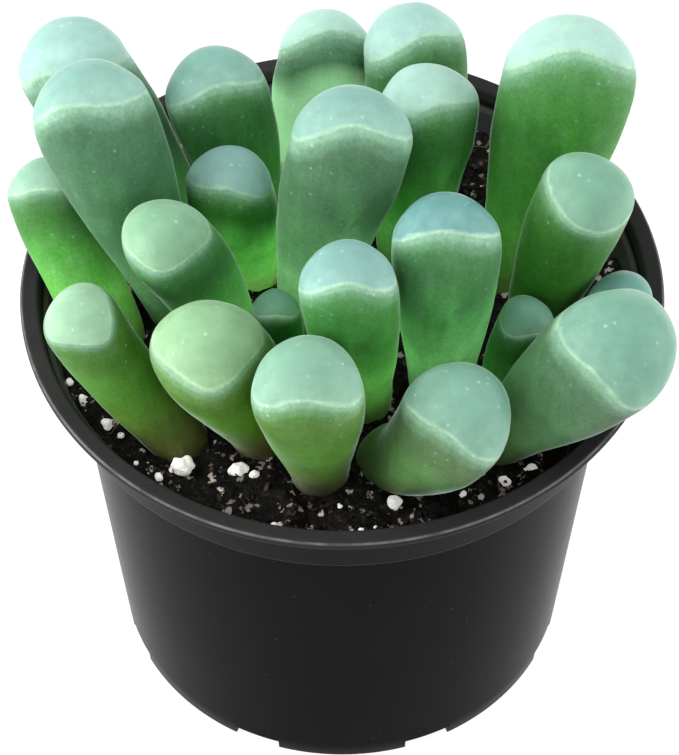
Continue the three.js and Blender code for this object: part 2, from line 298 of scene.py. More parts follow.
# The window's outline: the way its nearest edge faces in degrees, its width and depth as shares of the
# crest's, and its roundness, where 2 is round, less is pointed and more is square.
windowEdges = {
    "leaf_01": (-100, 1.30, 1.25, 2.4), "leaf_02": (-100, 1.20, 1.00, 2.4), "leaf_03": (-75, 1.20, 1.00, 2.2),
    "leaf_04": (-80, 1.20, 1.00, 2.2), "leaf_05": (-72, 1.20, 1.00, 2.2), "leaf_06": (-75, 1.20, 1.00, 2.2),
    "leaf_07": (-90, 1.20, 1.00, 2.4), "leaf_08": (-90, 1.20, 1.00, 2.6), "leaf_09": (-85, 1.20, 1.00, 2.2),
    "leaf_10": (-80, 1.10, 1.00, 1.7), "leaf_11": (-90, 1.15, 1.00, 2.2), "leaf_12": (-50, 1.00, 1.05, 1.6),
    "leaf_13": (-85, 1.08, 1.03, 1.65), "leaf_14": (-90, 1.20, 0.97, 2.6), "leaf_15": (-90, 1.20, 1.00, 2.4),
    "leaf_16": (-98, 1.20, 1.00, 2.2), "leaf_17": (-115, 1.35, 0.98, 2.2), "leaf_18": (-124, 1.38, 1.00, 2.3),
    "leaf_19": (-110, 1.15, 1.00, 2.1), "leaf_20": (-90, 1.10, 1.00, 2.2), "leaf_21": (-90, 1.10, 1.00, 2.2),
    "leaf_22": (-90, 1.10, 1.00, 2.2), "leaf_23": (-90, 1.00, 1.00, 2.0), "leaf_24": (-90, 1.00, 1.00, 2.0),
}
toneNames = ("frost", "warmth", "bloom", "olive", "paintedGlow")


def ringsFrom(foot):
    ring = {foot: 0}
    waiting = [foot]
    while waiting:
        vert = waiting.pop(0)
        for edge in vert.link_edges:
            other = edge.other_vert(vert)
            if other not in ring:
                ring[other] = ring[vert] + 1
                waiting.append(other)
    return ring


def diagonalsBetween(ring, lower, upper, sides):
    # the edges between two rings run in a zigzag: straight, diagonal, straight, diagonal
    vert = lower
    runs = ([], [])
    edge = None
    for step in range(2 * sides):
        target = upper if step % 2 == 0 else ring[lower]
        for candidate in vert.link_edges:
            if candidate is not edge and ring[candidate.other_vert(vert)] == target:
                break
        edge = candidate
        runs[step % 2].append(edge)
        vert = edge.other_vert(vert)
    lengths = [sum(edge.calc_length() for edge in run) for run in runs]
    return runs[0] if lengths[0] > lengths[1] else runs[1]


def readAcross(value, pairs):
    for (here, there), (nextHere, nextThere) in zip(pairs, pairs[1:]):
        if min(here, nextHere) <= value <= max(here, nextHere):
            return there + (nextThere - there) * (value - here) / (nextHere - here)
    return pairs[-1][1]


def outlineWindow(bm, shape, windowEdge, centre, facing):
    # moves the numbers of the rings about, and the colours with them, to give the crest the window's outline
    azimuth, wide, deep, roundness = windowEdge
    turn = math.radians(azimuth)
    ahead = Vector((math.cos(turn), math.sin(turn), 0))
    ahead = (ahead - facing * ahead.dot(facing)).normalized()
    aside = facing.cross(ahead)
    reachBack = [(reach, place) for place, reach in shape["reach"]]
    layer = bm.verts.layers.float["ring"]
    for vert in bm.verts:
        reach = readAcross(vert[layer], shape["reach"])
        way = vert.co - centre
        way = (way - facing * way.dot(facing)).normalized()
        across = abs(way.dot(aside)) * reach / wide
        along = way.dot(ahead) * reach
        along = along / deep if along > 0 else -along
        reach = (across ** roundness + along ** roundness) ** (1 / roundness)
        vert[layer] = readAcross(reach, reachBack)


def leafMesh(nodeName, shape, tones, windowEdge, number):
    bm = mergedCopy(nodeName, "ring", *toneNames)
    bm.edges.layers.float.new("crease_edge")
    waveSeed, dentSeed, fineDentSeed = [step * number for step in shape["seedSteps"]]
    poles = [vert for vert in bm.verts if len(vert.link_edges) == shape["sides"]]
    foot, tip = sorted(poles, key=lambda vert: vert.co.z)
    ring = ringsFrom(foot)
    last = ring[tip]
    diagonals = []
    byRing = [[vert for vert in bm.verts if ring[vert] == place] for place in range(last + 1)]
    for place in range(1, last - 1):
        diagonals += diagonalsBetween(ring, byRing[place][0], place + 1, shape["sides"])
    # widen each ring a little, and let the crest rise and fall
    crestPlace = shape["crestRing"]
    for place in range(1, last):
        centre = sum((vert.co for vert in byRing[place]), Vector()) / shape["sides"]
        radius = (byRing[place][0].co - centre).length
        if place == crestPlace:
            crestCentre, crestRadius = centre.copy(), radius
        for vert in byRing[place]:
            vert.co = centre + (vert.co - centre) * shape["fullness"]
            if place == crestPlace:
                lift = noise.noise(vert.co / (shape["waveSize"] * mm) + Vector((waveSeed, 0, 0)))
                vert.co.z += lift * shape["crestWave"] * radius
    facing = (tip.co - crestCentre).normalized()
    middle = crestCentre - facing * crestRadius * shape["domeMiddle"]
    for place in range(crestPlace + 1, last + 1):
        for vert in byRing[place]:
            vert.co += facing * (vert.co - middle).dot(facing) * shape["domeLift"]
    neck = byRing[shape["soilRing"]]
    centre = sum((vert.co for vert in neck), Vector()) / shape["sides"]
    leafFeet.append((centre.x / mm, centre.y / mm, (neck[0].co - centre).length / mm))
    ringLayer = bm.verts.layers.float["ring"]
    toneLayers = [bm.verts.layers.float[name] for name in toneNames]
    crease = bm.edges.layers.float["crease_edge"]
    for vert, place in ring.items():
        vert[ringLayer] = place
        for layer, tone in zip(toneLayers, tones):
            vert[layer] = tone
    for edge in bm.edges:
        if all(ring[vert] == crestPlace for vert in edge.verts):
            edge[crease] = shape["crestSharpness"]
    bmesh.ops.dissolve_edges(bm, edges=diagonals, use_verts=False, use_face_split=False)
    fine = smoothed(bm, shape["smoothLevels"])
    outlineWindow(fine, shape, windowEdge, middle, facing)
    roughen(fine, shape["dentSize"], shape["dentDepth"], dentSeed)
    roughen(fine, shape["fineDentSize"], shape["fineDentDepth"], fineDentSeed)
    return fine


# Leaf flesh: a clouded window, a pale crest line, partly a painted highlight, a dull bloom below it, then
# clear green to the soil, with painted glow and painted shade on the lower stalk and painted shade beneath
leafFinish = {
    # colours and roughness go by the share of the way from the first ring to the last
    "firstRing": 3,
    "lastRing": 14,
    # painted glow: both stalks' low stops are painted brighter green, for light soaked through the flesh
    "lushStalk": [
        (0.00, (0.090, 0.300, 0.050)),
        (0.20, (0.110, 0.450, 0.075)),
        (0.38, (0.072, 0.370, 0.054)),
        (0.50, (0.050, 0.235, 0.043)),
        (0.60, (0.072, 0.245, 0.075)),
        (0.665, (0.130, 0.310, 0.155)),
        (0.70, (0.215, 0.410, 0.270)),
        (0.73, (0.270, 0.450, 0.325)),
    ],
    "bloomStalk": [
        (0.00, (0.110, 0.360, 0.080)),
        (0.20, (0.155, 0.400, 0.165)),
        (0.38, (0.112, 0.300, 0.135)),
        (0.50, (0.085, 0.205, 0.108)),
        (0.575, (0.086, 0.190, 0.108)),
        (0.64, (0.130, 0.265, 0.165)),
        (0.70, (0.225, 0.405, 0.285)),
        (0.73, (0.260, 0.450, 0.335)),
    ],
    "clearWindow": (0.107, 0.267, 0.258),
    "frostWindow": (0.356, 0.552, 0.512),
    "greenTint": (1.03, 1.03, 0.60),
    "crestColour": (0.40, 0.60, 0.47),
    "mint": (0.28, 0.56, 0.28),
    "oliveTint": (1.30, 0.76, 0.38),
    "footColour": (0.140, 0.130, 0.045),
    "fleckColour": (0.62, 0.86, 0.80),
    "stainColour": (0.080, 0.066, 0.026),
    "roughness": [(0.0, 0.55), (0.6, 0.52), (0.72, 0.46), (0.78, 0.38), (1.0, 0.36)],
    "waver": 0.20,
    # the rings between which each colour sets in
    "yellowRings": (10.9, 8.8),
    "glowTop": (8.6, 6.0),
    "glowFoot": (3.0, 5.8),
    "brownRings": (6.0, 3.3),
    "underShadeRings": (4.5, 7.0),
    "windowRings": (10.96, 11.14),
    "veilRings": (11.1, 12.6),
    "crestOutside": (10.88, 10.97),
    "crestInside": (11.16, 11.05),
    "fleckRings": (7.0, 11.5),
    # how much of a colour there is
    # painted shade: how dark the underside is painted
    "undersideShade": 0.88,
    "veil": 0.24,
    "brown": 1.1,
    "flecks": (0.12, 0.36),
    "splashes": (0.05, 0.7),
    "glowStrength": 0.85,
    "mintFrom": 2.4,         # a leaf with more glow than this glows in the mint colour
    "mintFull": 3.0,
    "shadedFrom": -0.15,     # the underside darkens where the upward part of its normal is below this
    "shadedFull": -0.55,
    "streaks": 0.45,
    "mosaic": 0.7,
    "clouds": 0.7,
    "soilLevel": 46.0,
    "stainHeight": 5.0,
    # how fine each pattern is, in waves or cells per millimetre
    "waverPerMm": 0.22,
    "cloudsPerMm": 0.55,
    "streaksPerMm": 0.9,
    "streakStretch": 0.16,
    "mosaicPerMm": 3.0,
    "flecksPerMm": 1.0,
    "splashesPerMm": 0.8,
    "grainPerMm": 2.6,
    # depth in millimetres and strength of each bump
    "grainBump": (0.035, 0.5),
    "cloudBump": (0.12, 0.3),
    "fleckBump": (0.03, 0.3),
    "fleshWeight": 0.35,
    "fleshRadius": (0.5, 1.0, 0.5),
    "fleshScale": 2.5,
    "gloss": 0.15,
    "sheen": 0.75,
    "sheenRoughness": 0.16,
    "sheenTint": (0.8, 1.0, 0.9),
}
plainTint = (1, 1, 1)
paleTint = (1.06, 1.02, 0.97)


def leafMaterial(name, finish, tint):
    material, tree, shader, place = newMaterial(name)
    ring, frost, warmth, bloom, olive, paintedGlow = [
        addNode(tree, "Attribute", attribute_name=layer).outputs["Fac"] for layer in ("ring", *toneNames)]
    slow = noiseAt(tree, place, finish["waverPerMm"], 2)
    clouds = noiseAt(tree, place, finish["cloudsPerMm"], 5, 0.6)
    patchy = fitNoise(tree, clouds, -0.25, 0.25)
    along = maths(tree, "ADD", ring, fitNoise(tree, slow, -finish["waver"] / 2, finish["waver"] / 2))
    alongPatchy = maths(tree, "ADD", along, patchy)
    share = fitRange(tree, along, finish["firstRing"], finish["lastRing"])
    lush = ramp(tree, share, finish["lushStalk"], smooth=True)
    dull = ramp(tree, share, finish["bloomStalk"], smooth=True)
    stalk = blendColour(tree, "MIX", maths(tree, "ADD", bloom, patchy), lush, dull)

    # the stalk is more yellow where it is olive; painted shade darkens it low down where its painted glow is
    # below 0, and beneath, on faces that turn downwards
    yellow = times(tree, olive, fitRange(tree, alongPatchy, *finish["yellowRings"]))
    stalk = blendColour(tree, "MULTIPLY", yellow, stalk, finish["oliveTint"])
    low = times(tree, fitRange(tree, along, *finish["glowTop"]), fitRange(tree, along, *finish["glowFoot"]))
    paintedGlowAndShade = times(tree, paintedGlow, low)
    stalk = blendColour(tree, "MIX", fitRange(tree, paintedGlowAndShade, 0.0, -1.0), stalk, (0, 0, 0))
    brown = times(tree, olive, fitRange(tree, alongPatchy, *finish["brownRings"], 0.0, finish["brown"]))
    stalk = blendColour(tree, "MIX", brown, stalk, finish["footColour"])
    # painted shade: faces that turn downwards are painted darker, above the foot and less on olive leaves
    outward = addNode(tree, "NewGeometry").outputs["Normal"]
    upward = addNode(tree, "SeparateXYZ", {"Vector": outward}).outputs["Z"]
    under = fitRange(tree, upward, finish["shadedFrom"], finish["shadedFull"], 0.0, finish["undersideShade"])
    under = times(tree, under, fitRange(tree, olive, 0.0, 1.0, 1.0, 0.2),
                  fitRange(tree, along, *finish["underShadeRings"]))
    stalk = blendColour(tree, "MIX", under, stalk, (0, 0, 0))

    # the window clouds over from its crest inwards, and more where it is frosted
    inWindow = fitRange(tree, along, *finish["windowRings"])
    veil = times(tree, fitRange(tree, along, *finish["veilRings"], finish["veil"], 0.0),
                 fitNoise(tree, clouds, 0.5, 1.2))
    window = blendColour(tree, "MIX", maths(tree, "ADD", frost, veil), finish["clearWindow"],
                         finish["frostWindow"])
    window = blendColour(tree, "MULTIPLY", warmth, window, finish["greenTint"])
    colour = blendColour(tree, "MIX", inWindow, stalk, window)
    # the crest line: the leaf's own pale rim, and in part a painted highlight along the ridge
    crest = times(tree, fitRange(tree, along, *finish["crestOutside"]),
                  fitRange(tree, along, *finish["crestInside"]), fitNoise(tree, clouds, 0.3, 0.85))
    edge = blendColour(tree, "MULTIPLY", times(tree, warmth, 0.6), finish["crestColour"],
                       finish["greenTint"])
    colour = blendColour(tree, "MIX", crest, colour, edge)

    # long faint streaks down the stalk, a fine mosaic all over it, and soft clouds in the flesh
    stretch = (1, 1, finish["streakStretch"])
    stretched = addNode(tree, "Mapping", {"Vector": place, "Scale": stretch}).outputs["Vector"]
    streaks = noiseAt(tree, stretched, finish["streaksPerMm"], 3)
    outside = maths(tree, "SUBTRACT", 1.0, inWindow)
    colour = blendColour(tree, "MULTIPLY", times(tree, outside, finish["streaks"]), colour,
                         ramp(tree, streaks, [(0.35, 0.80), (0.65, 1.14)]))
    mosaic = noiseAt(tree, place, finish["mosaicPerMm"], 2, 0.5)
    colour = blendColour(tree, "MULTIPLY", times(tree, outside, finish["mosaic"]), colour,
                         ramp(tree, mosaic, [(0.32, 0.84), (0.68, 1.14)]))
    colour = blendColour(tree, "MULTIPLY", finish["clouds"], colour,
                         ramp(tree, clouds, [(0.3, 0.88), (0.7, 1.10)]))

    # soft pale flecks, in some cells only
    cells = cellsAt(tree, place, finish["flecksPerMm"])
    fleck = times(tree, fitRange(tree, cells["Distance"], 0.24, 0.06),
                  fitRange(tree, chanceOf(tree, cells)["Red"], 0.62, 0.95),
                  fitRange(tree, along, *finish["fleckRings"], *finish["flecks"]))
    colour = blendColour(tree, "MIX", fleck, colour, finish["fleckColour"])
    colour = blendColour(tree, "MULTIPLY", 1.0, colour, tint)

    # earth splashed on the foot of the stalk
    height = addNode(tree, "SeparateXYZ", {"Vector": place}).outputs["Z"]
    level = finish["soilLevel"] * mm
    near = fitRange(tree, height, level + finish["stainHeight"] * mm, level - 1 * mm)
    spots = noiseAt(tree, place, finish["splashesPerMm"], 5, 0.65)
    splashes = fitRange(tree, spots, 0.38, 0.62, *finish["splashes"])
    colour = blendColour(tree, "MIX", times(tree, near, splashes), colour, finish["stainColour"])

    normal = bumped(tree, noiseAt(tree, place, finish["grainPerMm"], 4, 0.6), finish["grainBump"])
    normal = bumped(tree, clouds, finish["cloudBump"], normal)
    normal = bumped(tree, fleck, finish["fleckBump"], normal)
    # painted glow: the lower stalk gives off light, in the mint colour where the painted glow is strongest
    minted = fitRange(tree, paintedGlow, finish["mintFrom"], finish["mintFull"], 0.0, 0.8)
    feed(tree, shader, {
        "Base Color": colour,
        "Roughness": ramp(tree, share, finish["roughness"]),
        "Normal": normal,
        "Emission Color": blendColour(tree, "MIX", minted, colour, finish["mint"]),
        "Emission Strength": fitRange(tree, paintedGlowAndShade, 0.0, 1.0, 0.0, finish["glowStrength"]),
        "Subsurface Weight": finish["fleshWeight"],
        "Subsurface Radius": finish["fleshRadius"],
        "Subsurface Scale": finish["fleshScale"] * mm,
        "Specular IOR Level": finish["gloss"],
        "Sheen Weight": finish["sheen"],
        "Sheen Roughness": finish["sheenRoughness"],
        "Sheen Tint": (*finish["sheenTint"], 1),
    })
    material.cycles.emission_sampling = "NONE"
    return material


leafFlesh = leafMaterial("leafFlesh", leafFinish, plainTint)
paleLeafFlesh = leafMaterial("paleLeafFlesh", leafFinish, paleTint)

leafFeet = []
for number, (nodeName, tones) in enumerate(leafTones.items(), start=1):
    pale = nodeName == "leaf_13"
    flesh = paleLeafFlesh if pale else leafFlesh
    bm = leafMesh(nodeName, leafShape, tones, windowEdges[nodeName], number)
    addPiece(bm, "plump_" + nodeName, flesh, [nodeName])
print("scene: leaves made,", len(leafFeet))


# Pot: a thin moulded shell with a flat rim, a band below it and feet cut by drain gates

potShape = {
    # points close to a corner keep the flat faces beside it flat
    "outline": [
        (24.1, 0.0), (24.3, 2.2), (24.46, 4.0), (24.83, 8.0), (25.37, 14.0), (25.91, 20.0), (26.46, 26.0),
        (27.0, 32.0), (27.54, 38.0), (27.92, 42.2), (27.95, 42.5), (28.3, 42.9), (28.5, 42.9), (29.7, 42.9),
        (29.9, 42.9), (30.2, 43.2), (30.2533, 43.45), (31.4467, 49.05), (31.5, 49.3), (31.7, 49.3308),
        (32.6, 49.4692), (32.8, 49.5), (33.0, 49.7), (33.0, 50.2), (32.7, 50.5), (32.5, 50.5),
        (31.5, 50.5), (31.3, 50.5), (31.1, 50.3), (30.7, 48.6), (30.2, 48.4),
        (29.1, 44.3), (27.4, 44.0), (23.7, 3.2), (4.0, 3.2), (4.0, 2.0), (23.0, 2.0), (23.0, 0.0),
    ],
    "turns": 192,
    "cornerAngle": 24,
    "edgeRound": 0.12,
    "gates": 8,
    "gateRing": 24.1,
    "gateReach": 4.4,
    "gateHeight": 1.3,
    "gateWidth": 5.04,
    "drainRing": 17.0,
    "drainRadius": 2.5,
    "drainLevel": 2.6,
    "drainDepth": 3,
}


def potMesh(shape):
    bm = spun(shape["outline"], shape["turns"], closed=True)
    bmesh.ops.recalc_face_normals(bm, faces=bm.faces)
    sharpest = math.radians(shape["cornerAngle"])
    corners = [edge for edge in bm.edges if edge.calc_face_angle(0) > sharpest]
    bmesh.ops.bevel(bm, geom=corners, offset=shape["edgeRound"] * mm, offset_type="OFFSET", segments=2,
                    profile=0.5, affect="EDGES", material=-1, clamp_overlap=True)
    return bm


def gateCutter(shape):
    bm = bmesh.new()
    step = 2 * math.pi / shape["gates"]
    gateSize = (shape["gateReach"] * mm, shape["gateWidth"] * mm, 2 * shape["gateHeight"] * mm, 1)
    radius = shape["drainRadius"] * mm
    for gate in range(shape["gates"]):
        turn = Matrix.Rotation((gate + 0.5) * step, 4, "Z")
        notch = turn @ Matrix.Translation((shape["gateRing"] * mm, 0, 0))
        bmesh.ops.create_cube(bm, size=1, matrix=notch @ Matrix.Diagonal(gateSize))
        drain = turn @ Matrix.Translation((shape["drainRing"] * mm, 0, shape["drainLevel"] * mm))
        bmesh.ops.create_cone(bm, cap_ends=True, segments=32, radius1=radius, radius2=radius,
                              depth=shape["drainDepth"] * mm, matrix=drain)
    return bm


# Pot plastic: black, paler on the rim, painted light inside the rim, painted highlights along two edges,
# faint grain from the mould, light scuffs and dust
potFinish = {
    "tall": 50.5,
    # brightness by the share of that height
    "heights": [
        (0.0, 0.0050), (0.84, 0.0055), (0.87, 0.0045), (0.97, 0.0045), (0.982, 0.034), (1.0, 0.034),
    ],
    # the inside of the rim, painted paler as painted light: heights where it sets in and ends, and a cone in
    # the wall
    "innerLight": (0.072, 0.070, 0.070),
    "innerFoot": (43.3, 43.6),
    "innerTop": (49.0, 48.6),
    "coneSlope": 0.24,
    "coneReach": (19.2, 19.0),
    # the painted highlight lines: along the rim's outer edge, and along the band's foot, where it is fainter
    "edgeHighlight": (0.16, 0.16, 0.16),
    "rimReach": (32.72, 32.82),
    "rimHeight": (50.2, 50.3),
    "bandReach": (29.8, 29.9),
    "bandFoot": (43.0, 43.1),
    "bandTop": (43.35, 43.2),
    "bandShare": 0.5,
    "worn": 0.35,
    "dust": (0.13, 0.12, 0.11),
    "dustPerMm": 0.75,
    "dustShare": 0.5,
    "gloss": 0.016,
    "roughness": (0.23, 0.27),
    "slowPerMm": 0.06,
    "unevenPerMm": 0.35,
    "scuffsPerMm": 1.1,
    "scuffStretch": (0.25, 0.25, 1.4),
    "grainPerMm": 3.2,
    "grainBump": (0.015, 0.3),
    "slowBump": (0.2, 0.1),
}


def potMaterial(finish):
    material, tree, shader, place = newMaterial("potPlastic")

    def between(value, key):
        low, high = finish[key]
        return fitRange(tree, value, low * mm, high * mm)

    slow = noiseAt(tree, place, finish["slowPerMm"], 3)
    height = addNode(tree, "SeparateXYZ", {"Vector": place}).outputs["Z"]
    colour = ramp(tree, fitRange(tree, height, 0, finish["tall"] * mm), finish["heights"])
    # painted light: the inside of the rim, above the soil, is painted paler than the band outside it
    flat = addNode(tree, "VectorMath", {0: place, 1: (1, 1, 0)}, operation="MULTIPLY").outputs["Vector"]
    reach = addNode(tree, "VectorMath", {0: flat}, operation="LENGTH").outputs["Value"]
    skew = maths(tree, "SUBTRACT", reach, times(tree, height, finish["coneSlope"]))
    innerLightMask = times(tree, between(skew, "coneReach"), between(height, "innerFoot"),
                   between(height, "innerTop"))
    colour = blendColour(tree, "MIX", innerLightMask, colour, finish["innerLight"])
    colour = blendColour(tree, "MULTIPLY", 1.0, colour,
                         ramp(tree, slow, [(0.3, 1 - finish["worn"]), (0.7, 1.0)]))
    # specks of dust, in some cells only
    cells = cellsAt(tree, place, finish["dustPerMm"])
    speck = times(tree, fitRange(tree, cells["Distance"], 0.09, 0.04),
                  fitRange(tree, chanceOf(tree, cells)["Green"], 0.80, 0.86), finish["dustShare"])
    colour = blendColour(tree, "MIX", speck, colour, finish["dust"])
    # painted highlights: a thin pale line along the rim's outer edge and the band's foot
    rimLine = times(tree, between(reach, "rimReach"), between(height, "rimHeight"))
    bandLine = times(tree, between(height, "bandFoot"), between(height, "bandTop"),
                     between(reach, "bandReach"), finish["bandShare"])
    uneven = noiseAt(tree, place, finish["unevenPerMm"], 4, 0.6)
    uneven = fitRange(tree, uneven, 0.35, 0.6, 0.25, 0.9)
    edgeHighlight = times(tree, maths(tree, "ADD", rimLine, bandLine), uneven)
    colour = blendColour(tree, "MIX", edgeHighlight, colour, finish["edgeHighlight"])
    around = addNode(tree, "Mapping", {"Vector": place, "Scale": finish["scuffStretch"]}).outputs["Vector"]
    scuffs = noiseAt(tree, around, finish["scuffsPerMm"], 4, 0.7)
    smooth, scuffed = finish["roughness"]
    normal = bumped(tree, noiseAt(tree, place, finish["grainPerMm"], 4, 0.6), finish["grainBump"])
    feed(tree, shader, {
        "Base Color": colour,
        "Roughness": ramp(tree, scuffs, [(0.3, smooth), (0.7, scuffed)]),
        "Normal": bumped(tree, slow, finish["slowBump"], normal),
        "Specular IOR Level": finish["gloss"],
    })
    return material


potPlastic = potMaterial(potFinish)
addPiece(cutBy(potMesh(potShape), gateCutter(potShape)), "pot_shell", potPlastic, ["pot"],
         potShape["cornerAngle"])
print("scene: pot made")


# Soil: a lumpy bed of peat that fills the pot

soilShape = {
    "level": 46.0,
    "mound": 0.6,
    "moundRadius": 33,
    "rippleHeights": (0.26, 0.22),
    "edgeRadius": 29.45,
    "edgeSlope": 0.268,       # the pot's wall leans out by this much
    "turns": 320,
    "steps": 72,
    "lower": [(29.0, 44.35), (27.2, 44.2), (23.5, 3.5), (0.0, 3.5)],
    "clodSize": 1.7,
    "clodDepth": 1.0,
    "crumbSize": 0.75,
    "crumbDepth": 0.55,
    "grainSize": 0.35,
    "grainDepth": 0.12,
    "noiseLevel": 4.4,
}


def soilHeight(x, y, shape=soilShape):
    share = math.hypot(x, y) / shape["moundRadius"]
    height = shape["level"] + shape["mound"] * (1 - share * share)
    first, second = shape["rippleHeights"]
    height += first * math.sin(0.9 * x + math.sin(0.5 * y)) + second * math.sin(1.1 * y + 0.7 * x)
    place = Vector((x, y, shape["noiseLevel"]))
    height += shape["clodDepth"] * noise.noise(place / shape["clodSize"])
    near = noise.voronoi(place / shape["crumbSize"])[0]
    height += shape["crumbDepth"] * (0.5 - near[0])
    height += shape["grainDepth"] * noise.noise(place / shape["grainSize"])
    return height


def soilMesh(shape):
    outline = [(shape["edgeRadius"] * step / shape["steps"], shape["level"])
               for step in range(shape["steps"] + 1)]
    bm = spun(outline + shape["lower"], shape["turns"])
    for vert in bm.verts:
        # only the top is lumpy
        if vert.co.z < (shape["level"] - 0.5) * mm:
            continue
        x, y = vert.co.x / mm, vert.co.y / mm
        height = soilHeight(x, y)
        reach = math.hypot(x, y)
        if reach > shape["edgeRadius"] - 0.05:
            spread = 1 + (height - shape["level"]) * shape["edgeSlope"] / reach
            x, y = x * spread, y * spread
        vert.co = (x * mm, y * mm, height * mm)
    return bm


# Peat: near black, with pale angular flecks in it, partly grit and partly painted glints for wet highlights
peatFinish = {
    "dark": (0.0008, 0.0006, 0.0005),
    "mid": (0.0045, 0.0032, 0.0026),
    "light": (0.060, 0.045, 0.037),
    "glintsAndGrit": (0.80, 0.69, 0.63),
}
crumbLift = 1.7              # loose crumbs are lighter than the bed by this
peatGrain = {
    "crumbsPerMm": 1.3,
    "bitsPerMm": 2.2,
    "cellsPerMm": 1.0,
    "bitSize": (0.34, 0.27),
    "bitChance": (0.62, 0.66),
    "gloss": 0.22,
    "dampPerMm": 2.1,
    "roughness": [(0.35, 0.62), (0.6, 0.95)],
    "crumbBump": (0.35, 0.9),
    "bitBump": (0.12, 0.7),
}


def peatMaterial(name, finish, lift=1.0, grain=peatGrain):
    material, tree, shader, place = newMaterial(name)
    crumbs = noiseAt(tree, place, grain["crumbsPerMm"], 7, 0.7)
    stops = [(0.36, finish["dark"]), (0.55, finish["mid"]), (0.74, finish["light"])]
    colour = ramp(tree, crumbs, [(where, tuple(lift * part for part in shade)) for where, shade in stops])
    # the pale flecks, partly grit and partly painted glints, stand in some cells only, and not all of them
    # are bright
    glintsAndGrit = noiseAt(tree, place, grain["bitsPerMm"], 4, 0.65)
    cells = cellsAt(tree, place, grain["cellsPerMm"])
    chance = chanceOf(tree, cells)
    rough = maths(tree, "ADD", cells["Distance"], fitNoise(tree, glintsAndGrit, -0.36, 0.36))
    glintAndGritMask = times(tree, fitRange(tree, rough, *grain["bitSize"]),
                   fitRange(tree, chance["Red"], *grain["bitChance"]),
                   fitRange(tree, chance["Green"], 0.0, 1.0, 0.15, 1.0))
    normal = bumped(tree, crumbs, grain["crumbBump"])
    feed(tree, shader, {
        "Base Color": blendColour(tree, "MIX", glintAndGritMask, colour, finish["glintsAndGrit"]),
        "Roughness": ramp(tree, noiseAt(tree, place, grain["dampPerMm"], 3), grain["roughness"]),
        "Normal": bumped(tree, glintsAndGrit, grain["bitBump"], normal),
        "Specular IOR Level": grain["gloss"],
    })
    return material


peat = peatMaterial("peat", peatFinish)
addPiece(soilMesh(soilShape), "soil_bed", peat, ["soil"])
print("scene: soil made")


# Loose peat: crumbs, flat bark chips and pale root threads lying on the bed

looseShape = {
    "crumbs": 1700,
    "crumbSizes": (0.22, 0.62),
    "lumps": 220,
    "lumpSizes": (0.55, 1.05),
    "chips": 190,
    "chipSizes": (0.3, 1.1),
    "threads": 44,
    "threadThick": 0.05,
    "threadSteps": 7,
    "threadReach": 28.9,
    "reach": 28.6,
    "footShare": 0.92,       # loose bits may touch a leaf's foot by the rest of its radius
}


def freePlace(room, shape=looseShape):
    # a place on the soil that no leaf stands on
    reach, share = shape["reach"], shape["footShare"]
    while True:
        x, y = random.uniform(-reach, reach), random.uniform(-reach, reach)
        if math.hypot(x, y) > reach:
            continue
        if all(math.hypot(x - fx, y - fy) > foot * share + room for fx, fy, foot in leafFeet):
            return x, y


def jitter(verts, amount):
    for vert in verts:
        push = Vector((random.uniform(-1, 1), random.uniform(-1, 1), random.uniform(-1, 1)))
        vert.co += push * amount * mm


def anyTurn():
    turn = Matrix.Rotation(random.uniform(0, 6.28), 4, "Z")
    return turn @ Matrix.Rotation(random.uniform(-0.6, 0.6), 4, "X")


def crumbMesh(shape):
    bm = bmesh.new()
    for kind, faces in (("crumb", 1), ("lump", 2)):
        low, high = shape[kind + "Sizes"]
        for _ in range(shape[kind + "s"]):
            size = low + (high - low) * random.random() ** 2
            x, y = freePlace(size * 0.4)
            size *= 0.5
            squash = Matrix.Diagonal((random.uniform(0.8, 1.3), random.uniform(0.7, 1.1), 0.75, 1))
            spot = Matrix.Translation((x * mm, y * mm, (soilHeight(x, y) + size * 0.3) * mm))
            made = bmesh.ops.create_icosphere(bm, subdivisions=faces, radius=size * mm,
                                              matrix=spot @ anyTurn() @ squash)
            jitter(made["verts"], size * 0.24)
    return bm


def chipMesh(shape):
    bm = bmesh.new()
    low, high = shape["chipSizes"]
    for _ in range(shape["chips"]):
        size = random.uniform(low, high)
        x, y = freePlace(size * 0.5)
        form = Matrix.Diagonal((size * mm, size * random.uniform(0.35, 0.7) * mm, size * 0.2 * mm, 1))
        spot = Matrix.Translation((x * mm, y * mm, (soilHeight(x, y) + 0.14) * mm))
        made = bmesh.ops.create_cube(bm, size=1, matrix=spot @ anyTurn() @ form)
        jitter(made["verts"], size * 0.1)
    bmesh.ops.bevel(bm, geom=list(bm.edges), offset=0.04 * mm, offset_type="OFFSET", segments=1,
                    profile=0.5, affect="EDGES", material=-1, clamp_overlap=True)
    return bm


